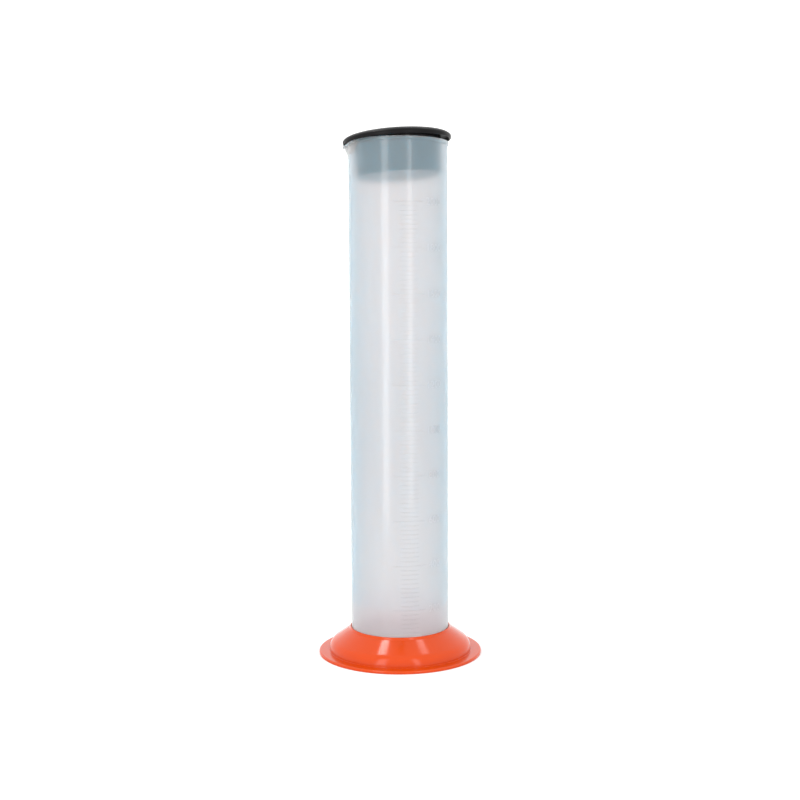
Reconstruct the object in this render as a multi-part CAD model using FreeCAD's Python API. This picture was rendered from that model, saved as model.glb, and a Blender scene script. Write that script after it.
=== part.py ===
import FreeCAD, Part

import math
import os

# Two litre graduated cylinder in three mouldings: a translucent measuring tube with a
# pouring lip and a raised scale, a push-on domed foot, and a drop-in lid recessed from above.
# Millimetres, +Z up. The origin is the centre of the foot's underside. The scale faces -Y
# and the pouring lip points along -X.

# Scale. One millilitre is a thousand cubic millimetres.
FULL_SCALE_ML = 2000
FIRST_MARK_ML = 100
DIVISION_ML = 20
LONG_MARK_EVERY_ML = 200
CUBIC_MM_PER_ML = 1000.0

# Measuring tube
BORE_RADIUS = 40.6
WALL = 2.4
TUBE_RADIUS = BORE_RADIUS + WALL
TUBE_UNDERSIDE = 4.5
FLOOR_THICKNESS = 3.0
FLOOR_TOP = TUBE_UNDERSIDE + FLOOR_THICKNESS
FLOOR_FILLET = 4.0
TUBE_HEEL_RADIUS = 2.0
RIM = 447.8
BEAD_HEIGHT = 3.4
BEAD_PROUD = 0.9
BEAD_ROUND = 0.8
MOUTH_ROUND = 0.7

# Pouring lip: a trumpet turned about its own upright axis, which meets the tube's wall.
# Its top edge is cut by a plane that leaves the rim at LIP_CUT_X and falls away outwards.
LIP_AXIS_X = -30.5
LIP_DEPTH = 13.5
LIP_BEND_RADIUS = 6.0
LIP_FLARE_DEG = 33.0
LIP_FOOT_RADIUS = TUBE_RADIUS + LIP_AXIS_X - 0.05
LIP_WALL = 2.35
LIP_CUT_X = -40.2
LIP_CUT_DEG = 36.5

# Raised scale marks, as arcs around the tube
MARK_RELIEF = 0.3
MARK_HEIGHT = 0.6
MARK_ROOT = 1.0
LONG_MARK_DEG = 39.0
SHORT_MARK_DEG = 18.6
SCALE_AZIMUTH = -90.0

# Foot
FOOT_RADIUS = 72.0
FLANGE_THICKNESS = 2.6
DOME_RADIUS = 63.0
DOME_SHOULDER = 11.3
DOME_SLOPE_DEG = 34.5
FOOT_WALL = 2.4
FOOT_TOP = 23.5
NECK_RADIUS = 45.0
NECK_HEIGHT = 21.4
SOCKET_RADIUS = TUBE_RADIUS + 0.3
COLLAR_RADIUS = SOCKET_RADIUS + FOOT_WALL
LEDGE_RADIUS = 33.0
LEDGE_UNDERSIDE = 2.0
RIB_COUNT = 8
RIB_THICKNESS = 1.8
RIB_UNDERSIDE = 1.0

# Lid, drawn with the face that meets the rim at z = 0
LID_RADIUS = 47.0
LID_WAIST = -0.95
LID_TOP = 4.3
LID_SHOULDER = 16.0
SKIRT_DEPTH = 3.2
SKIRT_BORE = 45.2
SKIRT_TAPER = 0.9
PLUG_RADIUS = 38.0
PLUG_TIP_RADIUS = 37.4
PLUG_DEPTH = 32.1
PLUG_WALL = 2.2
PLUG_FLOOR = 2.0
RECESS_EDGE = 0.6

# The lid lies loose in the mouth, a little askew: low beside the lip, raised at the front
LID_TILT_DEG = 3.61
LID_RAISED_AZIMUTH = -34.8
LID_SHIFT = 0.84
LID_SHIFT_AZIMUTH = 168.5
SEAT_GAP = 0.25

ORIGIN = FreeCAD.Vector(0, 0, 0)
Z_AXIS = FreeCAD.Vector(0, 0, 1)


def at(radius, height):
    """A point of a turned outline."""
    return FreeCAD.Vector(radius, 0, height)


def outline_edges(corners):
    """Edges of an outline whose corners (radius, height, rounding) are rounded by tangent arcs."""
    points = [at(radius, height) for radius, height, rounding in corners]
    joins = []
    for index, corner in enumerate(corners):
        here = points[index]
        back = (points[index - 1] - here).normalize()
        ahead = (points[(index + 1) % len(points)] - here).normalize()
        rounding = corner[2]
        if rounding == 0:
            joins.append((here, None, here))
            continue
        half_angle = back.getAngle(ahead) / 2
        setback = rounding / math.tan(half_angle)
        bisector = (back + ahead).normalize()
        middle = here + bisector * (rounding / math.sin(half_angle) - rounding)
        joins.append((here + back * setback, middle, here + ahead * setback))
    edges = []
    for index, (start, middle, end) in enumerate(joins):
        if middle is not None:
            edges.append(Part.Arc(start, middle, end).toShape())
        next_start = joins[(index + 1) % len(joins)][0]
        if (next_start - end).Length > 1e-6:
            edges.append(Part.LineSegment(end, next_start).toShape())
    return edges


def turned(edges, axis_x=0.0, degrees=360.0):
    """Turn a closed outline about the upright axis at axis_x."""
    solid = Part.Face(Part.Wire(edges)).revolve(ORIGIN, Z_AXIS, degrees)
    solid.translate(FreeCAD.Vector(axis_x, 0, 0))
    return solid


def volume_height(millilitres):
    """Height of the liquid's surface over the bench, less what the floor's fillet takes up."""
    bore_area = math.pi * BORE_RADIUS ** 2
    fillet_area = (1 - math.pi / 4) * FLOOR_FILLET ** 2
    fillet_volume = fillet_area * 2 * math.pi * (BORE_RADIUS - FLOOR_FILLET / 4)
    return FLOOR_TOP + (millilitres * CUBIC_MM_PER_ML + fillet_volume) / bore_area


def tube_barrel():
    """The straight barrel with its rim bead, still solid inside."""
    bead_radius = TUBE_RADIUS + BEAD_PROUD
    return turned(outline_edges([
        (0, TUBE_UNDERSIDE, 0),
        (TUBE_RADIUS, TUBE_UNDERSIDE, TUBE_HEEL_RADIUS),
        (TUBE_RADIUS, RIM - BEAD_HEIGHT, 0.3),
        (bead_radius, RIM - BEAD_HEIGHT + BEAD_PROUD, 0.3),
        (bead_radius, RIM, BEAD_ROUND),
        (0, RIM, 0),
    ]))


def trumpet(foot_radius, overshoot=0):
    """A solid that bends outwards from foot_radius and flares straight on, past the rim."""
    flare = math.radians(LIP_FLARE_DEG)
    bend_centre = foot_radius + LIP_BEND_RADIUS
    foot_height = RIM - LIP_DEPTH
    bend_points = []
    for angle in (0, flare / 2, flare):
        radius = bend_centre - LIP_BEND_RADIUS * math.cos(angle)
        bend_points.append(at(radius, foot_height + LIP_BEND_RADIUS * math.sin(angle)))
    bend_end = bend_points[2]
    top = RIM + overshoot
    high = at(bend_end.x + (top - bend_end.z) * math.tan(flare), top)
    return turned([
        Part.Arc(*bend_points).toShape(),
        Part.LineSegment(bend_end, high).toShape(),
        Part.LineSegment(high, at(0, top)).toShape(),
        Part.LineSegment(at(0, top), at(0, foot_height)).toShape(),
        Part.LineSegment(at(0, foot_height), bend_points[0]).toShape(),
    ], LIP_AXIS_X)


def above_lip():
    """The wedge over the lip's falling top edge."""
    fall = math.tan(math.radians(LIP_CUT_DEG))
    outer_x = -TUBE_RADIUS - 15
    corners = [
        FreeCAD.Vector(LIP_CUT_X, -TUBE_RADIUS, RIM),
        FreeCAD.Vector(outer_x, -TUBE_RADIUS, RIM + (outer_x - LIP_CUT_X) * fall),
        FreeCAD.Vector(outer_x, -TUBE_RADIUS, RIM + 1),
        FreeCAD.Vector(LIP_CUT_X, -TUBE_RADIUS, RIM + 1),
    ]
    face = Part.Face(Part.makePolygon(corners + corners[:1]))
    return face.extrude(FreeCAD.Vector(0, 2 * TUBE_RADIUS, 0))


def bore():
    """What is taken out of the barrel: the bore, with a filleted floor and an eased mouth."""
    return turned(outline_edges([
        (0, FLOOR_TOP, 0),
        (BORE_RADIUS, FLOOR_TOP, FLOOR_FILLET),
        (BORE_RADIUS, RIM - MOUTH_ROUND, 0),
        (BORE_RADIUS + MOUTH_ROUND, RIM, 0),
        (BORE_RADIUS + MOUTH_ROUND, RIM + 1, 0),
        (0, RIM + 1, 0),
    ]))


def scale_mark(height, span_degrees):
    """One raised mark, centred on the scale's line."""
    mark = turned(outline_edges([
        (TUBE_RADIUS - MARK_ROOT, height - MARK_HEIGHT / 2, 0),
        (TUBE_RADIUS + MARK_RELIEF, height - MARK_HEIGHT / 2, 0),
        (TUBE_RADIUS + MARK_RELIEF, height + MARK_HEIGHT / 2, 0),
        (TUBE_RADIUS - MARK_ROOT, height + MARK_HEIGHT / 2, 0),
    ]), degrees=span_degrees)
    mark.rotate(ORIGIN, Z_AXIS, SCALE_AZIMUTH - span_degrees / 2)
    return mark


def scale_marks():
    marks = []
    for millilitres in range(FIRST_MARK_ML, FULL_SCALE_ML + 1, DIVISION_ML):
        is_long = millilitres % LONG_MARK_EVERY_ML == 0
        span = LONG_MARK_DEG if is_long else SHORT_MARK_DEG
        marks.append(scale_mark(volume_height(millilitres), span))
    return marks


def measuring_tube():
    outside = tube_barrel().fuse(trumpet(LIP_FOOT_RADIUS))
    hollow = bore().fuse([trumpet(LIP_FOOT_RADIUS - LIP_WALL, 1), above_lip()])
    return outside.cut(hollow).fuse(scale_marks()).removeSplitter()


def foot_shell():
    """The foot's wall: flange, dome, socket collar and the ledge that the tube stands on."""
    slope = math.tan(math.radians(DOME_SLOPE_DEG))
    lean = math.radians(DOME_SLOPE_DEG)
    inner_radius = DOME_RADIUS - FOOT_WALL
    shoulder_height = NECK_HEIGHT - slope * (DOME_RADIUS - NECK_RADIUS)
    inner_neck = (NECK_RADIUS - FOOT_WALL * math.sin(lean), NECK_HEIGHT - FOOT_WALL * math.cos(lean))

    def under_dome(radius):
        return inner_neck[1] - slope * (radius - inner_neck[0])

    return turned(outline_edges([
        (SOCKET_RADIUS, TUBE_UNDERSIDE, 0),
        (SOCKET_RADIUS, FOOT_TOP, 0.25),
        (SOCKET_RADIUS + 0.8, FOOT_TOP, 0.25),
        (NECK_RADIUS, NECK_HEIGHT, 0.8),
        (DOME_RADIUS, shoulder_height, DOME_SHOULDER),
        (DOME_RADIUS, FLANGE_THICKNESS, 0.4),
        (FOOT_RADIUS, FLANGE_THICKNESS, 1.2),
        (FOOT_RADIUS, 0, 0.6),
        (inner_radius, 0, 0.4),
        (inner_radius, under_dome(inner_radius), DOME_SHOULDER - FOOT_WALL),
        (COLLAR_RADIUS, under_dome(COLLAR_RADIUS), 0.8),
        (COLLAR_RADIUS, LEDGE_UNDERSIDE, 0.3),
        (LEDGE_RADIUS, LEDGE_UNDERSIDE, 0.3),
        (LEDGE_RADIUS, TUBE_UNDERSIDE, 0.3),
    ]))


def foot_rib(azimuth):
    """A stiffening web between the socket collar and the inside of the dome."""
    points = [
        at(COLLAR_RADIUS - 0.5, RIB_UNDERSIDE + LEDGE_UNDERSIDE),
        at(COLLAR_RADIUS + 1.5, RIB_UNDERSIDE),
        at(DOME_RADIUS - FOOT_WALL / 2, RIB_UNDERSIDE),
        at(DOME_RADIUS - FOOT_WALL / 2, 6.5),
        at(57.5, 11.3),
        at(COLLAR_RADIUS - 0.5, 19.6),
    ]
    face = Part.Face(Part.makePolygon(points + points[:1]))
    face.translate(FreeCAD.Vector(0, -RIB_THICKNESS / 2, 0))
    rib = face.extrude(FreeCAD.Vector(0, RIB_THICKNESS, 0))
    rib.rotate(ORIGIN, Z_AXIS, azimuth)
    return rib


def foot():
    ribs = [foot_rib(index * 360.0 / RIB_COUNT) for index in range(RIB_COUNT)]
    return foot_shell().fuse(ribs).removeSplitter()


def lid_cap():
    """The lid's solid cap down to its skirt's lower edge, widest a little above that edge."""
    shoulder_start = LID_RADIUS - LID_SHOULDER
    edge_radius = LID_RADIUS - SKIRT_TAPER
    shoulder_centre = at(shoulder_start, LID_WAIST)
    shoulder = Part.Ellipse(at(LID_RADIUS, LID_WAIST), at(shoulder_start, LID_TOP), shoulder_centre)
    edge_centre = at(edge_radius, LID_WAIST)
    edge = Part.Ellipse(at(edge_radius, -SKIRT_DEPTH), at(LID_RADIUS, LID_WAIST), edge_centre)
    return turned([
        Part.LineSegment(at(0, -SKIRT_DEPTH), at(edge_radius, -SKIRT_DEPTH)).toShape(),
        Part.ArcOfEllipse(edge, 0, math.pi / 2).toShape(),
        Part.ArcOfEllipse(shoulder, 0, math.pi / 2).toShape(),
        Part.LineSegment(at(shoulder_start, LID_TOP), at(0, LID_TOP)).toShape(),
        Part.LineSegment(at(0, LID_TOP), at(0, -SKIRT_DEPTH)).toShape(),
    ])


def lid_shape():
    """The lid before it is laid in the mouth: a cap with a short skirt and a plug, deeply recessed."""
    rim_recess = turned(outline_edges([
        (0, -SKIRT_DEPTH - 1, 0),
        (SKIRT_BORE, -SKIRT_DEPTH - 1, 0),
        (SKIRT_BORE, 0, 0.5),
        (0, 0, 0),
    ]))
    plug = turned(outline_edges([
        (0, -PLUG_DEPTH, 0),
        (PLUG_TIP_RADIUS, -PLUG_DEPTH, 1.0),
        (PLUG_RADIUS, 0, 0),
        (PLUG_RADIUS, 0.5, 0),
        (0, 0.5, 0),
    ]))
    recess_floor = PLUG_FLOOR - PLUG_DEPTH
    recess_radius = PLUG_RADIUS - PLUG_WALL
    recess = turned(outline_edges([
        (0, recess_floor, 0),
        (PLUG_TIP_RADIUS - PLUG_WALL, recess_floor, 1.5),
        (recess_radius, LID_TOP - 2 * RECESS_EDGE, 0),
        (recess_radius + 2 * RECESS_EDGE, LID_TOP + RECESS_EDGE, 0),
        (0, LID_TOP + RECESS_EDGE, 0),
    ]))
    return lid_cap().cut(rim_recess).fuse(plug).cut(recess).removeSplitter()


def lid():
    """The lid as it lies: tilted about the side where its flange touches the rim."""
    shape = lid_shape()
    raised = math.radians(LID_RAISED_AZIMUTH)
    hinge_line = FreeCAD.Vector(math.sin(raised), -math.cos(raised), 0)
    shape.rotate(ORIGIN, hinge_line, LID_TILT_DEG)
    shifted = math.radians(LID_SHIFT_AZIMUTH)
    rise = math.tan(math.radians(LID_TILT_DEG)) * (TUBE_RADIUS + BEAD_PROUD) + SEAT_GAP
    shape.translate(FreeCAD.Vector(LID_SHIFT * math.cos(shifted), LID_SHIFT * math.sin(shifted), RIM + rise))
    return shape


def main():
    os.makedirs("parts", exist_ok=True)
    parts = {"foot": foot(), "measuring_tube": measuring_tube(), "lid": lid()}
    for name, shape in parts.items():
        shape.exportStep("parts/" + name + ".step")
        box = shape.optimalBoundingBox()
        print(name, "solids", len(shape.Solids), "valid", shape.isValid(), "volume", round(shape.Volume),
              "box", [round(v, 2) for v in (box.XMin, box.YMin, box.ZMin, box.XMax, box.YMax, box.ZMax)])


main()
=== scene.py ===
import math

import bmesh
import bpy
from mathutils import Matrix, Vector

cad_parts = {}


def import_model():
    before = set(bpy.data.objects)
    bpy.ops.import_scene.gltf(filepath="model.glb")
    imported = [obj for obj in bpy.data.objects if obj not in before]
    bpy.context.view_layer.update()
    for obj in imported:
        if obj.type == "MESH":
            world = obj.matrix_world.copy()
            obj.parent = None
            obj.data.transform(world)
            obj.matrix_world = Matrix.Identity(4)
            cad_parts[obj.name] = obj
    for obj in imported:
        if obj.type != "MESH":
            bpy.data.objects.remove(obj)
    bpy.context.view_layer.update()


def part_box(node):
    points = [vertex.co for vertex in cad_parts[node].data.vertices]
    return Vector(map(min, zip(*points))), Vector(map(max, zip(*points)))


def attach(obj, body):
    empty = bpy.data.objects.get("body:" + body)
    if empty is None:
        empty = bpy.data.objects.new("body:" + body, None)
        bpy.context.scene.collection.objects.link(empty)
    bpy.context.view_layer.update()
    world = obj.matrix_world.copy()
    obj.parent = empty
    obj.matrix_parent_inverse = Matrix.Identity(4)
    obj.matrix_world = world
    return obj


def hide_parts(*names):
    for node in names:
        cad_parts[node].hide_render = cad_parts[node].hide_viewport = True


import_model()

# All sizes are in metres
MM = 0.001
ON_AXIS = 1e-7
SHARP_DEG = 32.0
WELD_DISTANCE = 1e-7
DEG_TOLERANCE = 1e-6

# Measuring tube; its heights and its radius come from the frame
tube_low, tube_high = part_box("measuring_tube")
RIM = tube_high.z
TUBE_UNDERSIDE = tube_low.z
BEAD_PROUD = 0.9 * MM
TUBE_RADIUS = tube_high.x - BEAD_PROUD
WALL = 2.4 * MM
BORE_RADIUS = TUBE_RADIUS - WALL
FLOOR_TOP = TUBE_UNDERSIDE + 3.0 * MM
FLOOR_FILLET = 4.0 * MM
FLOOR_RING_RADII = (0.0, 10 * MM, 22 * MM, 31 * MM)
UNDERSIDE_RING_RADII = (30 * MM, 18 * MM, 0.0)
HEEL_ROUND = 2.0 * MM
WALL_TOLERANCE = 0.1 * MM
INNER_FACE_MARGIN = 0.5 * MM
# Up to these heights the low bore and the floor take pinker, lighter finishes: painted light from
# the orange foot
THICK_PAINTED_LIGHT_TOP = 24 * MM
CLOUDY_PAINTED_LIGHT_TOP = 46 * MM
TUBE_SHARP_DEG = 40.0
OUTER, INNER, CLOUDY_PAINTED_LIGHT, THICK_PAINTED_LIGHT = range(4)

# The rim and the bead round it
RIM_INNER_ROUND = 0.7 * MM
RIM_OUTER_ROUND = 0.9 * MM
BEAD_HEIGHT = 3.4 * MM
BEAD_UNDER_ROUND = 0.7 * MM
BEAD_UNDER_CENTRE = 1.1 * MM
BEAD_RUN_OUT = ((0.18 * MM, 0.25 * MM), (0.05 * MM, 0.0))
BEAD_TO_WALL = 0.4 * MM

# Pouring lip: the wall bulges outwards, wider and further towards the rim, which dips there.
# The spread and the crease are shares of the lip's half width.
LIP_AZIMUTH = 180.0
LIP_SLOPE = 0.65
LIP_FOOT_DEPTH = 11.6 * MM
LIP_BEND = 1.2 * MM
LIP_HALF_DEG_AT_RIM = 26.0
LIP_NARROWING_DEG = 0.4
LIP_SPREAD = 1.15
LIP_CREASE_FROM = 0.6
LIP_CREASE_SOFTNESS = 0.06
LIP_DEPTH = 21.0 * MM
LIP_RUN_IN = 1 * MM
LIP_FADE = 4 * MM
LIP_DIP = 4.7 * MM
LIP_DIP_HALF_DEG = 24.5
LIP_DIP_EASE = 1.5

# The tube's mesh: columns round it, rings up it
COLUMN_DEG = 2.25
LIP_SPARE_COLUMNS = 3
WALL_RINGS = 18
LIP_INNER_RINGS = 28
LIP_OUTER_RINGS = 24
RING_SHARES_OVER_MARKS = (0.3, 0.6, 0.85)
RING_SHARES_UNDER_MARKS = (0.3, 0.7)

# Scale
FULL_SCALE_ML = 2000
FIRST_MARK_ML = 100
DIVISION_ML = 20
NUMBERED_EVERY_ML = 200
CUBIC_METRES_PER_ML = 1e-6
SCALE_AZIMUTH = 270.0
MARK_RELIEF = 0.3 * MM
MARK_HEIGHT = 0.6 * MM
MARK_BEVEL = 0.12 * MM
LONG_MARK_HALF_DEG = 8 * COLUMN_DEG
SHORT_MARK_HALF_DEG = 4 * COLUMN_DEG
NUMBER_AZIMUTH = SCALE_AZIMUTH + 33.0
NUMBER_HEIGHT = 6.2 * MM
DIGIT_HEIGHT_IN_FONT = 0.7
NUMBER_RELIEF = 0.10 * MM
NUMBER_BEVEL = 0.06 * MM

# Foot; its top comes from the frame
FOOT_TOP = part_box("foot")[1].z
FOOT_RADIUS = 72.0 * MM
FLANGE_THICKNESS = 2.6 * MM
FLANGE_TOP_ROUND = 1.2 * MM
FLANGE_FOOT_ROUND = 0.6 * MM
DOME_RADIUS = 63.0 * MM
DOME_SHOULDER = 11.3 * MM
DOME_FOOT_ROUND = 0.4 * MM
DOME_SLOPE = math.radians(34.5)
FOOT_WALL = 2.4 * MM
NECK_RADIUS = 45.0 * MM
NECK_HEIGHT = 21.4 * MM
NECK_ROUND = 0.8 * MM
SOCKET_RADIUS = TUBE_RADIUS + 0.3 * MM
SOCKET_LAND = 0.8 * MM
SOCKET_ROUND = 0.25 * MM
COLLAR_RADIUS = SOCKET_RADIUS + FOOT_WALL
LEDGE_RADIUS = 33.0 * MM
LEDGE_UNDERSIDE = 2.0 * MM
LEDGE_ROUND = 0.3 * MM
FOOT_SEGMENTS = 288
RIB_COUNT = 8
RIB_THICKNESS = 1.8 * MM
RIB_UNDERSIDE = 1.0 * MM
RIB_ROOT_UNDERSIDE = 3.0 * MM
RIB_OVERLAP = 0.5 * MM
RIB_ROOT_SLOPE = 1.5 * MM
RIB_ROOT_TOP = 19.6 * MM
RIB_SHOULDER = (57.5 * MM, 11.3 * MM)
RIB_TIP_TOP = 6.5 * MM

# Lid, in its own frame: the face that meets the rim at zero, then laid in the mouth
LID_RADIUS = 47.0 * MM
LID_WAIST = -0.95 * MM
LID_TOP = 4.3 * MM
LID_SHOULDER = 16.0 * MM
SKIRT_DEPTH = 3.2 * MM
SKIRT_BORE = 45.2 * MM
SKIRT_TAPER = 0.9 * MM
SKIRT_TIP_ROUND = 0.2 * MM
SKIRT_ROOT_ROUND = 0.5 * MM
PLUG_RADIUS = 38.0 * MM
PLUG_TIP_RADIUS = 37.4 * MM
PLUG_DEPTH = 32.1 * MM
PLUG_WALL = 2.2 * MM
PLUG_FLOOR = 2.0 * MM
PLUG_ROOT_ROUND = 0.4 * MM
PLUG_TIP_ROUND = 1.0 * MM
PLUG_FINISH_BELOW = 0.2 * MM
SEAT_RING = 2 * MM
RECESS_EDGE = 0.6 * MM
RECESS_ROUND = 1.5 * MM
LID_SEGMENTS = 256
LID_TILT_DEG = 3.61
LID_RAISED_AZIMUTH = -34.8
LID_SHIFT = 0.84 * MM
LID_SHIFT_AZIMUTH = 168.5
SEAT_GAP = 0.25 * MM
CAP, PLUG = range(2)

# Camera
CAMERA_AZIMUTH_DEG = -11.5
CAMERA_DISTANCE = 1.0508
CAMERA_HEIGHT = 0.3040
CAMERA_PITCH_DEG = -4.343
CAMERA_YAW_DEG = 0.047
CAMERA_ROLL_DEG = -0.272
CAMERA_LENS_MM = 53.92
CAMERA_SENSOR_MM = 36.0

# Floor and studio light
FLOOR_HALF = 6.0
WORLD_STRENGTH = 1.35
STRIP_DISTANCE = 0.75
STRIP_CENTRE = 0.42
STRIP_HEIGHT = 0.84
OVERHEAD_HEIGHT = 1.2
OVERHEAD_SIZE = 0.16

# Materials. Nearly all of a noise's output lies in this span.
NOISE_SPAN = (0.3, 0.7)
# Where the wall's roughness crossed about 0.27, lines like cracks showed
FROSTED = (0.29, 0.36)
HAZE_TINT = (0.0, 0.65, 1.0, 1)
BLACK_TONES = ((0.005, 0.0048, 0.005), (0.009, 0.0085, 0.009))


# --- outlines and meshes -------------------------------------------------------------------

def ellipse_arc(centre, half_width, half_height, start_deg, end_deg, count):
    points = []
    for index in range(count + 1):
        angle = math.radians(start_deg + (end_deg - start_deg) * index / count)
        points.append((centre[0] + half_width * math.cos(angle),
                       centre[1] + half_height * math.sin(angle)))
    return points


def arc_points(centre, radius, start_deg, end_deg, count):
    return ellipse_arc(centre, radius, radius, start_deg, end_deg, count)


def spread(start, end, count):
    """Values from start to end, both included, in this many equal steps."""
    return [start + (end - start) * index / count for index in range(count + 1)]


def rounded(corners, arc_step_deg):
    """Points of an outline whose corners (radius, height, rounding) are rounded by tangent arcs."""
    points = []
    for index, (r, z, rounding) in enumerate(corners):
        here = Vector((r, z))
        if rounding == 0:
            points.append((r, z))
            continue
        before = corners[index - 1]
        after = corners[(index + 1) % len(corners)]
        back = (Vector(before[:2]) - here).normalized()
        ahead = (Vector(after[:2]) - here).normalized()
        half = back.angle(ahead) / 2
        start = here + back * (rounding / math.tan(half))
        end = here + ahead * (rounding / math.tan(half))
        centre = here + (back + ahead).normalized() * (rounding / math.sin(half))
        first = start - centre
        turn = first.angle_signed(end - centre)
        count = max(2, math.ceil(math.degrees(abs(turn)) / arc_step_deg))
        for step in range(count + 1):
            points.append(tuple(centre + Matrix.Rotation(-turn * step / count, 2) @ first))
    return points


def shade(mesh, sharp_deg=SHARP_DEG):
    """Smooth shading, with edges sharper than this angle left crisp."""
    mesh.polygons.foreach_set("use_smooth", [True] * len(mesh.polygons))
    mesh.set_sharp_from_angle(angle=math.radians(sharp_deg))


def linked(name, data):
    made = bpy.data.objects.new(name, data)
    bpy.context.scene.collection.objects.link(made)
    return made


def mesh_object(name, vertices, faces, materials, sharp_deg=SHARP_DEG):
    mesh = bpy.data.meshes.new(name)
    mesh.from_pydata(vertices, [], faces)
    mesh.validate()
    for material in materials:
        mesh.materials.append(material)
    made = bmesh.new()
    made.from_mesh(mesh)
    bmesh.ops.recalc_face_normals(made, faces=made.faces)
    made.to_mesh(mesh)
    made.free()
    shade(mesh, sharp_deg)
    return linked(name, mesh)


def carried_round(outline, columns, place):
    """Vertices and faces of a closed outline, each of its points placed at every column.

    An outline point is (radius, height, ...), and one on the axis becomes a single pole.
    """
    vertices = []
    rings = []
    for point in outline:
        if point[0] < ON_AXIS:
            rings.append([len(vertices)] * len(columns))
            vertices.append((0, 0, point[1]))
            continue
        rings.append(list(range(len(vertices), len(vertices) + len(columns))))
        vertices += [place(point, column) for column in columns]
    faces = []
    for index, ring in enumerate(rings):
        following = rings[(index + 1) % len(rings)]
        for column in range(len(columns)):
            beside = (column + 1) % len(columns)
            corners = [ring[column], ring[beside], following[beside], following[column]]
            unique = list(dict.fromkeys(corners))
            if len(unique) > 2:
                faces.append(unique)
    return vertices, faces


def turned(name, outline, segments, materials):
    """A solid of revolution."""
    def place(point, angle):
        r, z = point
        return (r * math.cos(angle), r * math.sin(angle), z)

    angles = [2 * math.pi * column / segments for column in range(segments)]
    vertices, faces = carried_round(outline, angles, place)
    return mesh_object(name, vertices, faces, materials)


# --- measuring tube ------------------------------------------------------------------------

def degrees_apart(a, b):
    return abs((a - b + 180.0) % 360.0 - 180.0)


def volume_height(millilitres):
    """The height at which the bore, with its rounded corner at the floor, holds this much."""
    bore_area = math.pi * BORE_RADIUS ** 2
    fillet_area = (1 - math.pi / 4) * FLOOR_FILLET ** 2
    fillet_volume = fillet_area * 2 * math.pi * (BORE_RADIUS - FLOOR_FILLET / 4)
    return FLOOR_TOP + (millilitres * CUBIC_METRES_PER_ML + fillet_volume) / bore_area


def lip_share(azimuth, depth):
    """How much of the lip's full reach this azimuth has, at this depth below the rim."""
    half = LIP_HALF_DEG_AT_RIM - LIP_NARROWING_DEG * depth / MM
    off = degrees_apart(azimuth, LIP_AZIMUTH) / half
    if off > LIP_SPREAD:
        return 0.0
    bulge = 1 - off * off
    if off <= LIP_CREASE_FROM:
        return bulge
    return (bulge + math.sqrt(bulge * bulge + LIP_CREASE_SOFTNESS * LIP_CREASE_SOFTNESS)) / 2


def lip_reach(depth):
    """The lip's reach on its centreline: nothing low down, then a straight flare."""
    return LIP_SLOPE * LIP_BEND * math.log1p(math.exp((LIP_FOOT_DEPTH - depth) / LIP_BEND))


def lip_dip(azimuth):
    off = degrees_apart(azimuth, LIP_AZIMUTH) / LIP_DIP_HALF_DEG
    return LIP_DIP * max(0.0, 1 - off * off)


def lipped(radius, height, azimuth):
    """Where a point of the plain round wall goes at the pouring lip, as (radius, height)."""
    if height < RIM - LIP_DEPTH:
        return radius, height
    climb = (height - (RIM - LIP_DEPTH)) / LIP_DEPTH
    height -= lip_dip(azimuth) * climb ** LIP_DIP_EASE
    depth = RIM - height
    fade = max(0.0, min(1.0, (LIP_DEPTH - depth) / LIP_FADE))
    return radius + lip_reach(depth) * lip_share(azimuth, depth) * fade, height


def tube_columns():
    """Azimuths of the tube's vertical mesh lines, twice as close together at the lip."""
    azimuths = {index * COLUMN_DEG for index in range(round(360 / COLUMN_DEG))}
    half_count = 2 * (round(LIP_HALF_DEG_AT_RIM / COLUMN_DEG) + LIP_SPARE_COLUMNS)
    for index in range(-half_count, half_count + 1):
        azimuths.add(LIP_AZIMUTH + index * COLUMN_DEG / 2)
    return sorted(azimuths)


def inside_rings(lip_start):
    """From the middle of the floor up the bore and round the rim's inner edge."""
    rings = [(r, FLOOR_TOP) for r in FLOOR_RING_RADII]
    rings += arc_points((BORE_RADIUS - FLOOR_FILLET, FLOOR_TOP + FLOOR_FILLET),
                        FLOOR_FILLET, -90, 0, 8)
    lip_end = RIM - RIM_INNER_ROUND
    heights = [THICK_PAINTED_LIGHT_TOP]
    heights += spread(CLOUDY_PAINTED_LIGHT_TOP, lip_start, WALL_RINGS)[:-1]
    heights += spread(lip_start, lip_end, LIP_INNER_RINGS)[:-1]
    rings += [(BORE_RADIUS, z) for z in heights]
    rings += arc_points((BORE_RADIUS + RIM_INNER_ROUND, lip_end), RIM_INNER_ROUND, 180, 90, 5)
    return rings


def outside_rings(lip_start):
    """From the rim's outer edge over the bead and down the wall to the top mark."""
    bead_radius = TUBE_RADIUS + BEAD_PROUD
    bead_foot = RIM - BEAD_HEIGHT
    rings = arc_points((bead_radius - RIM_OUTER_ROUND, RIM - RIM_OUTER_ROUND),
                       RIM_OUTER_ROUND, 90, 0, 7)
    rings += arc_points((bead_radius - BEAD_UNDER_ROUND, bead_foot + BEAD_UNDER_CENTRE),
                        BEAD_UNDER_ROUND, 0, -50, 4)
    rings += [(TUBE_RADIUS + proud, bead_foot + rise) for proud, rise in BEAD_RUN_OUT]
    heights = spread(bead_foot - BEAD_TO_WALL, lip_start, LIP_OUTER_RINGS)
    top_mark = volume_height(FULL_SCALE_ML)
    heights += [lip_start + (top_mark - lip_start) * share for share in RING_SHARES_OVER_MARKS]
    return rings + [(TUBE_RADIUS, z) for z in heights]


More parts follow.
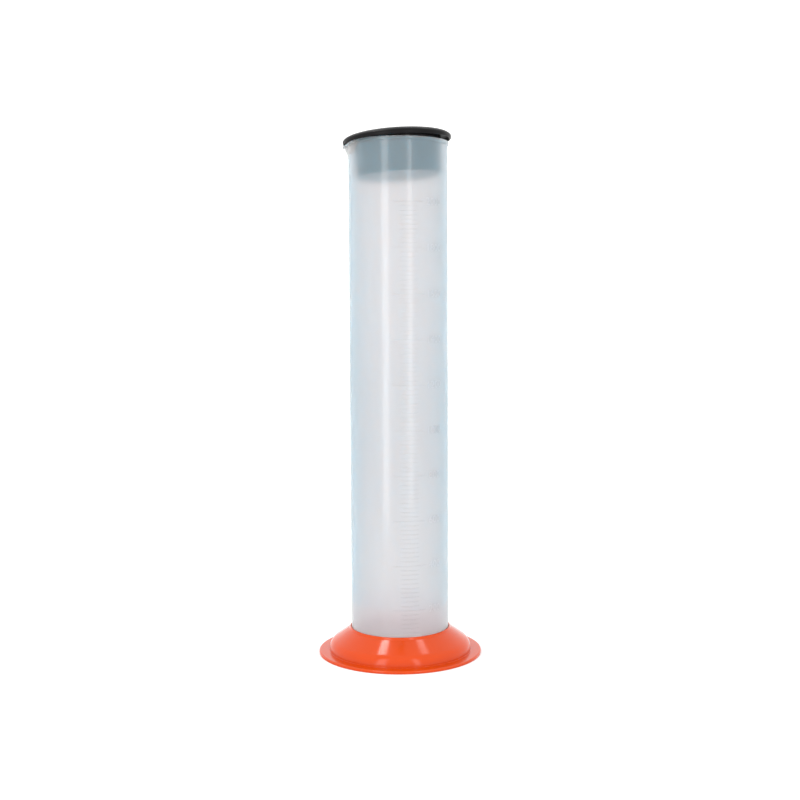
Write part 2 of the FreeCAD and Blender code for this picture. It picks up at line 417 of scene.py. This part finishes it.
def mark_rings():
    """The raised marks from the top one down, each ring with its mark's half angle."""
    edge = MARK_HEIGHT / 2
    rings = []
    for millilitres in range(FULL_SCALE_ML, FIRST_MARK_ML - 1, -DIVISION_ML):
        z = volume_height(millilitres)
        numbered = millilitres % NUMBERED_EVERY_ML == 0
        half = LONG_MARK_HALF_DEG if numbered else SHORT_MARK_HALF_DEG
        rings.append((TUBE_RADIUS, z + edge + MARK_BEVEL, 0.0))
        rings.append((TUBE_RADIUS, z + edge, half))
        rings.append((TUBE_RADIUS, z - edge, half))
        rings.append((TUBE_RADIUS, z - edge - MARK_BEVEL, 0.0))
    return rings


def heel_rings():
    """From the lowest mark down the wall, round the heel and in under the floor."""
    low_outer = TUBE_UNDERSIDE + HEEL_ROUND
    bottom_mark = volume_height(FIRST_MARK_ML)
    rings = [(TUBE_RADIUS, bottom_mark + (low_outer - bottom_mark) * share)
             for share in RING_SHARES_UNDER_MARKS]
    rings += arc_points((TUBE_RADIUS - HEEL_ROUND, low_outer), HEEL_ROUND, 0, -90, 6)
    return rings + [(r, TUBE_UNDERSIDE) for r in UNDERSIDE_RING_RADII]


def tube_rings():
    """The tube's outline as rings (radius, height, half angle of a raised mark or zero)."""
    lip_start = RIM - LIP_DEPTH - LIP_RUN_IN
    above = [(r, z, 0.0) for r, z in inside_rings(lip_start) + outside_rings(lip_start)]
    return above + mark_rings() + [(r, z, 0.0) for r, z in heel_rings()]


def tube_vertex(point, azimuth):
    r, z, mark_half = point
    if r > BORE_RADIUS - WALL_TOLERANCE:
        r, z = lipped(r, z, azimuth)
    if mark_half and degrees_apart(azimuth, SCALE_AZIMUTH) <= mark_half + DEG_TOLERANCE:
        r += MARK_RELIEF
    angle = math.radians(azimuth)
    return (r * math.cos(angle), r * math.sin(angle), z)


def measuring_tube(materials):
    """The tube's closed mesh. The moulding clouds towards its floor, which is heavier than the
    wall, and the pinker, lighter tone of its low bore and floor is painted light from the orange
    foot.
    """
    vertices, faces = carried_round(tube_rings(), tube_columns(), tube_vertex)
    tube = mesh_object("measuring_tube_moulding", vertices, faces, materials, TUBE_SHARP_DEG)
    for polygon in tube.data.polygons:
        x, y, z = polygon.center
        outwards = polygon.normal.x * x + polygon.normal.y * y > 0
        if math.hypot(x, y) > BORE_RADIUS + INNER_FACE_MARGIN or z > RIM - RIM_INNER_ROUND:
            polygon.material_index = OUTER
        # The low bore's and the floor's inner faces take the finishes with painted light from the
        # orange foot
        elif z < THICK_PAINTED_LIGHT_TOP:
            polygon.material_index = THICK_PAINTED_LIGHT
        elif not outwards:
            polygon.material_index = CLOUDY_PAINTED_LIGHT if z < CLOUDY_PAINTED_LIGHT_TOP else INNER
    return tube


def number_mesh(millilitres):
    """One raised number, bent round the wall at its mark's height."""
    text = bpy.data.curves.new("number", "FONT")
    text.body = str(millilitres)
    text.size = NUMBER_HEIGHT / DIGIT_HEIGHT_IN_FONT
    text.align_x = "CENTER"
    text.align_y = "CENTER"
    text.extrude = NUMBER_RELIEF
    text.bevel_depth = NUMBER_BEVEL
    text.resolution_u = 2
    holder = bpy.data.objects.new("number", text)
    mesh = bpy.data.meshes.new_from_object(holder)
    bpy.data.objects.remove(holder)
    bpy.data.curves.remove(text)
    middle = volume_height(millilitres)
    for vertex in mesh.vertices:
        x, y, depth = vertex.co
        angle = math.radians(NUMBER_AZIMUTH) + x / TUBE_RADIUS
        radius = TUBE_RADIUS + depth
        vertex.co = (radius * math.cos(angle), radius * math.sin(angle), middle + y)
    return mesh


def scale_numbers(material):
    """The raised numbers beside the long marks, as one piece."""
    made = bmesh.new()
    for millilitres in range(NUMBERED_EVERY_ML, FULL_SCALE_ML + 1, NUMBERED_EVERY_ML):
        number = number_mesh(millilitres)
        made.from_mesh(number)
        bpy.data.meshes.remove(number)
    bmesh.ops.remove_doubles(made, verts=made.verts, dist=WELD_DISTANCE)
    bmesh.ops.recalc_face_normals(made, faces=made.faces)
    mesh = bpy.data.meshes.new("scale_numbers")
    made.to_mesh(mesh)
    made.free()
    mesh.materials.append(material)
    shade(mesh)
    return linked("scale_numbers", mesh)


# --- foot ----------------------------------------------------------------------------------

def foot_outline():
    """From the socket over the neck and the dome to the flange, and back underneath."""
    slope = math.tan(DOME_SLOPE)
    inner_radius = DOME_RADIUS - FOOT_WALL
    shoulder_height = NECK_HEIGHT - slope * (DOME_RADIUS - NECK_RADIUS)
    neck_r = NECK_RADIUS - FOOT_WALL * math.sin(DOME_SLOPE)
    neck_z = NECK_HEIGHT - FOOT_WALL * math.cos(DOME_SLOPE)

    def under_dome(radius):
        return neck_z - slope * (radius - neck_r)

    return rounded([
        (SOCKET_RADIUS, TUBE_UNDERSIDE, 0),
        (SOCKET_RADIUS, FOOT_TOP, SOCKET_ROUND),
        (SOCKET_RADIUS + SOCKET_LAND, FOOT_TOP, SOCKET_ROUND),
        (NECK_RADIUS, NECK_HEIGHT, NECK_ROUND),
        (DOME_RADIUS, shoulder_height, DOME_SHOULDER),
        (DOME_RADIUS, FLANGE_THICKNESS, DOME_FOOT_ROUND),
        (FOOT_RADIUS, FLANGE_THICKNESS, FLANGE_TOP_ROUND),
        (FOOT_RADIUS, 0, FLANGE_FOOT_ROUND),
        (inner_radius, 0, DOME_FOOT_ROUND),
        (inner_radius, under_dome(inner_radius), DOME_SHOULDER - FOOT_WALL),
        (COLLAR_RADIUS, under_dome(COLLAR_RADIUS), NECK_ROUND),
        (COLLAR_RADIUS, LEDGE_UNDERSIDE, LEDGE_ROUND),
        (LEDGE_RADIUS, LEDGE_UNDERSIDE, LEDGE_ROUND),
        (LEDGE_RADIUS, TUBE_UNDERSIDE, LEDGE_ROUND),
    ], arc_step_deg=6.0)


def foot_ribs():
    """The stiffening webs under the dome, as one mesh of separate plates."""
    root_radius = COLLAR_RADIUS - RIB_OVERLAP
    tip_radius = DOME_RADIUS - FOOT_WALL / 2
    side = [
        (root_radius, RIB_ROOT_UNDERSIDE),
        (COLLAR_RADIUS + RIB_ROOT_SLOPE, RIB_UNDERSIDE),
        (tip_radius, RIB_UNDERSIDE),
        (tip_radius, RIB_TIP_TOP),
        RIB_SHOULDER,
        (root_radius, RIB_ROOT_TOP),
    ]
    vertices = []
    faces = []
    count = len(side)
    for rib in range(RIB_COUNT):
        turn = Matrix.Rotation(2 * math.pi * rib / RIB_COUNT, 3, "Z")
        near = len(vertices)
        far = near + count
        for y in (-RIB_THICKNESS / 2, RIB_THICKNESS / 2):
            vertices += [tuple(turn @ Vector((r, y, z))) for r, z in side]
        faces.append([near + index for index in range(count)])
        faces.append([far + index for index in reversed(range(count))])
        for index in range(count):
            following = (index + 1) % count
            faces.append([near + index, near + following, far + following, far + index])
    return mesh_object("foot_ribs", vertices, faces, [])


def foot(material):
    piece = turned("foot_moulding", foot_outline(), FOOT_SEGMENTS, [material])
    ribs = foot_ribs()
    union = piece.modifiers.new("ribs", "BOOLEAN")
    union.operation = "UNION"
    union.solver = "EXACT"
    union.object = ribs
    graph = bpy.context.evaluated_depsgraph_get()
    mesh = bpy.data.meshes.new_from_object(piece.evaluated_get(graph))
    piece.modifiers.clear()
    piece.data = mesh
    shade(mesh)
    bpy.data.objects.remove(ribs)
    return piece


# --- lid -----------------------------------------------------------------------------------

def lid_outline():
    """From the recess's floor up, over the shoulder, round the skirt and under the plug."""
    shoulder_start = LID_RADIUS - LID_SHOULDER
    edge_radius = LID_RADIUS - SKIRT_TAPER
    recess_foot = PLUG_TIP_RADIUS - PLUG_WALL
    recess_floor = PLUG_FLOOR - PLUG_DEPTH
    mouth_radius = PLUG_RADIUS - PLUG_WALL + RECESS_EDGE
    crest_deg = math.degrees(math.acos((mouth_radius - shoulder_start) / LID_SHOULDER))
    shoulder = ellipse_arc((shoulder_start, LID_WAIST),
                           LID_SHOULDER, LID_TOP - LID_WAIST, crest_deg, 0, 24)
    points = [(0.0, recess_floor), (recess_foot * 0.5, recess_floor)]
    points += arc_points((recess_foot - RECESS_ROUND, recess_floor + RECESS_ROUND),
                         RECESS_ROUND, -90, 0, 6)
    points += arc_points((mouth_radius, shoulder[0][1] - RECESS_EDGE), RECESS_EDGE, 180, 100, 5)
    points += shoulder
    points += ellipse_arc((edge_radius, LID_WAIST),
                          SKIRT_TAPER, SKIRT_DEPTH + LID_WAIST, 0, -90, 10)[1:]
    points += arc_points((SKIRT_BORE + SKIRT_TIP_ROUND, -SKIRT_DEPTH + SKIRT_TIP_ROUND),
                         SKIRT_TIP_ROUND, -90, -180, 3)
    points += arc_points((SKIRT_BORE - SKIRT_ROOT_ROUND, -SKIRT_ROOT_ROUND),
                         SKIRT_ROOT_ROUND, 0, 90, 5)
    points += [(PLUG_RADIUS + SEAT_RING, 0.0)]
    points += arc_points((PLUG_RADIUS + PLUG_ROOT_ROUND, -PLUG_ROOT_ROUND),
                         PLUG_ROOT_ROUND, 90, 180, 4)
    points += arc_points((PLUG_TIP_RADIUS - PLUG_TIP_ROUND, -PLUG_DEPTH + PLUG_TIP_ROUND),
                         PLUG_TIP_ROUND, 0, -90, 6)
    points += [(PLUG_TIP_RADIUS * 0.5, -PLUG_DEPTH), (0.0, -PLUG_DEPTH)]
    return points


def lid(cap, plug):
    """The lid, its plug's outside in the plug's own finish, laid askew in the mouth."""
    piece = turned("lid_moulding", lid_outline(), LID_SEGMENTS, [cap, plug])
    for polygon in piece.data.polygons:
        x, y, z = polygon.center
        sideways = polygon.normal.x * x + polygon.normal.y * y > 1e-6
        outside = sideways or polygon.normal.z < -0.5
        in_plug = z < -PLUG_FINISH_BELOW and math.hypot(x, y) < PLUG_RADIUS + PLUG_ROOT_ROUND
        polygon.material_index = PLUG if outside and in_plug else CAP
    raised = math.radians(LID_RAISED_AZIMUTH)
    hinge_line = Vector((math.sin(raised), -math.cos(raised), 0))
    tilt = Matrix.Rotation(math.radians(LID_TILT_DEG), 4, hinge_line)
    shifted = math.radians(LID_SHIFT_AZIMUTH)
    rise = math.tan(math.radians(LID_TILT_DEG)) * (TUBE_RADIUS + BEAD_PROUD) + SEAT_GAP
    place = (LID_SHIFT * math.cos(shifted), LID_SHIFT * math.sin(shifted), RIM + rise)
    piece.data.transform(Matrix.Translation(place) @ tilt)
    return piece


# --- materials -----------------------------------------------------------------------------

def new_material(name):
    """A material with an empty Principled surface, as (material, nodes, links, surface)."""
    material = bpy.data.materials.new(name)
    material.use_nodes = True
    nodes = material.node_tree.nodes
    links = material.node_tree.links
    nodes.clear()
    output = nodes.new("ShaderNodeOutputMaterial")
    surface = nodes.new("ShaderNodeBsdfPrincipled")
    links.new(surface.outputs[0], output.inputs["Surface"])
    return material, nodes, links, surface


def noise(nodes, links, scale, detail, stretch=(1, 1, 1)):
    """Noise over the object's own coordinates, its output from 0 to 1."""
    coordinates = nodes.new("ShaderNodeTexCoord")
    mapping = nodes.new("ShaderNodeMapping")
    mapping.inputs["Scale"].default_value = stretch
    texture = nodes.new("ShaderNodeTexNoise")
    texture.inputs["Scale"].default_value = scale
    texture.inputs["Detail"].default_value = detail
    links.new(coordinates.outputs["Object"], mapping.inputs["Vector"])
    links.new(mapping.outputs["Vector"], texture.inputs["Vector"])
    return texture.outputs["Fac"]


def ranged(nodes, links, value, low, high):
    remap = nodes.new("ShaderNodeMapRange")
    remap.inputs["From Min"].default_value = NOISE_SPAN[0]
    remap.inputs["From Max"].default_value = NOISE_SPAN[1]
    remap.inputs["To Min"].default_value = low
    remap.inputs["To Max"].default_value = high
    links.new(value, remap.inputs["Value"])
    return remap.outputs["Result"]


def tinted(nodes, links, value, first, second):
    mix = nodes.new("ShaderNodeMix")
    mix.data_type = "RGBA"
    mix.inputs["A"].default_value = (*first, 1)
    mix.inputs["B"].default_value = (*second, 1)
    links.new(value, mix.inputs["Factor"])
    return mix.outputs["Result"]


def bumped(nodes, links, value, distance, strength):
    bump = nodes.new("ShaderNodeBump")
    bump.inputs["Distance"].default_value = distance
    bump.inputs["Strength"].default_value = strength
    links.new(value, bump.inputs["Height"])
    return bump.outputs["Normal"]


def polypropylene(name, tones, transmission, roughness, ior=1.3, coat=0.0, haze=0.0):
    """Undyed polypropylene. Its bluish haze, where it has one, shows over dark things."""
    material, nodes, links, surface = new_material(name)
    cloud = noise(nodes, links, 35, 3.0, (1, 1, 0.25))
    links.new(tinted(nodes, links, cloud, *tones), surface.inputs["Base Color"])
    grain = noise(nodes, links, 60, 2.0, (1, 1, 0.15))
    links.new(ranged(nodes, links, grain, *roughness), surface.inputs["Roughness"])
    surface.inputs["Transmission Weight"].default_value = transmission
    surface.inputs["IOR"].default_value = ior
    surface.inputs["Coat Weight"].default_value = coat
    surface.inputs["Coat Roughness"].default_value = 0.1
    surface.inputs["Sheen Weight"].default_value = haze
    surface.inputs["Sheen Roughness"].default_value = 1.0
    surface.inputs["Sheen Tint"].default_value = HAZE_TINT
    return material


def opaque_plastic(name, tones, roughness, specular, grain_height):
    """A dyed plastic, its tone and gloss a little uneven, with a fine moulded grain."""
    material, nodes, links, surface = new_material(name)
    cloud = noise(nodes, links, 30, 3.0)
    links.new(tinted(nodes, links, cloud, *tones), surface.inputs["Base Color"])
    patches = noise(nodes, links, 100, 4.0)
    links.new(ranged(nodes, links, patches, *roughness), surface.inputs["Roughness"])
    grain = noise(nodes, links, 400, 2.0)
    links.new(bumped(nodes, links, grain, grain_height, 0.5), surface.inputs["Normal"])
    surface.inputs["Specular IOR Level"].default_value = specular
    return material


def tube_materials():
    """The tube's finishes, in the order of its material slots."""
    outer = polypropylene("natural_polypropylene_outside",
                          ((0.85, 0.85, 0.85), (0.87, 0.87, 0.87)), 0.885, FROSTED, coat=0.5)
    inner = polypropylene("natural_polypropylene_inside",
                          ((0.89, 0.68, 0.61), (0.89, 0.70, 0.63)), 1.0, (0.12, 0.18), haze=0.51)
    # Painted light: the pink, lighter tones of the low wall and the floor stand in for the orange
    # foot's light low in the tube
    cloudy_painted_light = polypropylene("natural_polypropylene_low_wall_painted_light",
                           ((0.88, 0.72, 0.70), (0.88, 0.74, 0.72)), 0.7, FROSTED, haze=0.25)
    thick_painted_light = polypropylene("natural_polypropylene_floor_painted_light",
                          ((0.93, 0.78, 0.78), (0.93, 0.80, 0.80)), 0.0, (0.3, 0.4))
    return [outer, inner, cloudy_painted_light, thick_painted_light]


def number_plastic():
    return polypropylene("natural_polypropylene_numbers",
                         ((0.97, 0.97, 0.98), (0.98, 0.98, 0.99)), 1.0, FROSTED, ior=1.12)


def foot_plastic():
    return opaque_plastic("orange_foot_plastic", ((0.52, 0.045, 0.001), (0.55, 0.051, 0.002)),
                          (0.10, 0.15), 0.27, 0.00001)


def cap_plastic():
    return opaque_plastic("black_lid_plastic", BLACK_TONES, (0.30, 0.42), 0.08, 0.00003)


def plug_plastic():
    return opaque_plastic("black_plug_plastic", BLACK_TONES, (0.20, 0.25), 0.25, 0.00001)


# --- stage ---------------------------------------------------------------------------------

def floor():
    mesh = bpy.data.meshes.new("floor")
    half = FLOOR_HALF
    corners = [(-half, -half, 0), (half, -half, 0), (half, half, 0), (-half, half, 0)]
    mesh.from_pydata(corners, [], [(0, 1, 2, 3)])
    material, _, _, surface = new_material("pale_floor")
    surface.inputs["Base Color"].default_value = (0.90, 0.90, 0.90, 1)
    surface.inputs["Roughness"].default_value = 0.7
    surface.inputs["Specular IOR Level"].default_value = 0.2
    mesh.materials.append(material)
    linked("floor", mesh)


def soft_box(name, width, height, power, place, aim):
    light = bpy.data.lights.new(name, "AREA")
    light.shape = "RECTANGLE"
    light.size = width
    light.size_y = height
    light.energy = power
    holder = linked(name, light)
    holder.location = place
    towards = Vector(aim) - holder.location
    holder.rotation_euler = towards.to_track_quat("-Z", "Y").to_euler()
    holder.visible_camera = False


def strip_light(name, degrees_from_camera, width, power):
    """An upright soft box, turned round the object from the camera's own azimuth."""
    angle = math.radians(CAMERA_AZIMUTH_DEG + degrees_from_camera)
    place = (STRIP_DISTANCE * math.sin(angle), -STRIP_DISTANCE * math.cos(angle), STRIP_CENTRE)
    soft_box(name, width, STRIP_HEIGHT, power, place, (0, 0, STRIP_CENTRE))


def overhead_light(name, rightwards, towards_camera, power):
    """A small soft box overhead, placed by the direction from the foot as the camera sees it."""
    azimuth = math.radians(CAMERA_AZIMUTH_DEG)
    right = Vector((math.cos(azimuth), math.sin(azimuth), 0))
    forward = Vector((math.sin(azimuth), -math.cos(azimuth), 0))
    direction = right * rightwards + forward * towards_camera + Vector((0, 0, 1))
    soft_box(name, OVERHEAD_SIZE, OVERHEAD_SIZE, power, direction * OVERHEAD_HEIGHT, (0, 0, 0))


def world():
    made = bpy.data.worlds.new("studio")
    made.use_nodes = True
    nodes = made.node_tree.nodes
    nodes.clear()
    output = nodes.new("ShaderNodeOutputWorld")
    white = nodes.new("ShaderNodeBackground")
    white.inputs["Color"].default_value = (1, 1, 1, 1)
    white.inputs["Strength"].default_value = WORLD_STRENGTH
    made.node_tree.links.new(white.outputs[0], output.inputs["Surface"])
    bpy.context.scene.world = made


def camera():
    data = bpy.data.cameras.new("camera")
    data.lens = CAMERA_LENS_MM
    data.sensor_width = CAMERA_SENSOR_MM
    azimuth = math.radians(CAMERA_AZIMUTH_DEG)
    place = (CAMERA_DISTANCE * math.sin(azimuth), -CAMERA_DISTANCE * math.cos(azimuth),
             CAMERA_HEIGHT)
    level = Matrix.Rotation(math.pi / 2, 4, "X")
    turn = Matrix.Rotation(azimuth - math.radians(CAMERA_YAW_DEG), 4, "Z")
    pitch = Matrix.Rotation(math.radians(CAMERA_PITCH_DEG), 4, "X")
    roll = Matrix.Rotation(math.radians(CAMERA_ROLL_DEG), 4, "Z")
    holder = linked("camera", data)
    holder.matrix_world = Matrix.Translation(place) @ turn @ level @ pitch @ roll
    bpy.context.scene.camera = holder


def build():
    tube = measuring_tube(tube_materials())
    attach(tube, "tube")
    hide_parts("measuring_tube")

    numbers = scale_numbers(number_plastic())
    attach(numbers, "tube")

    base = foot(foot_plastic())
    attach(base, "foot")
    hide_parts("foot")

    cover = lid(cap_plastic(), plug_plastic())
    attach(cover, "lid")
    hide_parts("lid")


bpy.context.scene.view_settings.view_transform = "Standard"
camera()
world()
floor()
strip_light("left_strip", -29.8, 0.20, 1.9)
strip_light("right_strip", 26.5, 0.11, 1.1)
overhead_light("left_top_window", -0.255, -0.108, 1.5)
overhead_light("right_top_window", 0.345, -0.164, 0.55)
build()
